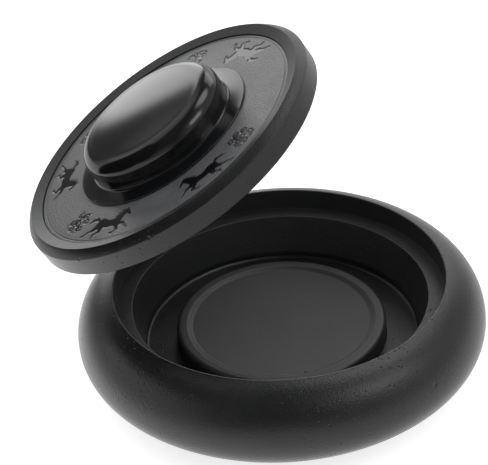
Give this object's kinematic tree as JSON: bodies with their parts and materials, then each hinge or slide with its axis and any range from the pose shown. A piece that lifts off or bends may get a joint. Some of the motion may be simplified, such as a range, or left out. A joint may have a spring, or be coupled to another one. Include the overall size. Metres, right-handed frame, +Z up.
{
  "type": "lidded ink stone box",
  "caption": "Round turned-stone ink stone box: a bulging bowl with a stepped mouth, moat and raised grinding disc, and a knobbed lid lifted off and tilted above it.",
  "frame": {"origin": "centre of the bowl's flat foot, on the surface that it stands on", "axes": "+Z up along the bowl's turning axis; +Y away from a viewer who sees the lid lifted off to the left; the lid's knob leans towards -X"},
  "size_m": [0.1098, 0.1052, 0.0777],
  "materials": {
    "honed_stone": "smooth honed dark stone with fine pits",
    "grinding_stone": "fine matt grinding surface",
    "lid_stone": "satin turned stone with small chips and scratches",
    "etched_band": "lathe-turned satin polish with shallow etched figures",
    "polished_stone": "glossy polished black stone"
  },
  "bodies": {
    "bowl": {"stone_body": "honed_stone", "grinding_disc": "grinding_stone"},
    "lid": {"lid_plate": "lid_stone", "lid_band": "etched_band", "lid_knob": "polished_stone"}
  },
  "joints": [
    {"name": "lid_lift", "type": "slide", "parent": "bowl", "child": "lid", "axis": [0, 0, 1], "range_m": [0, 0.04]}
  ]
}
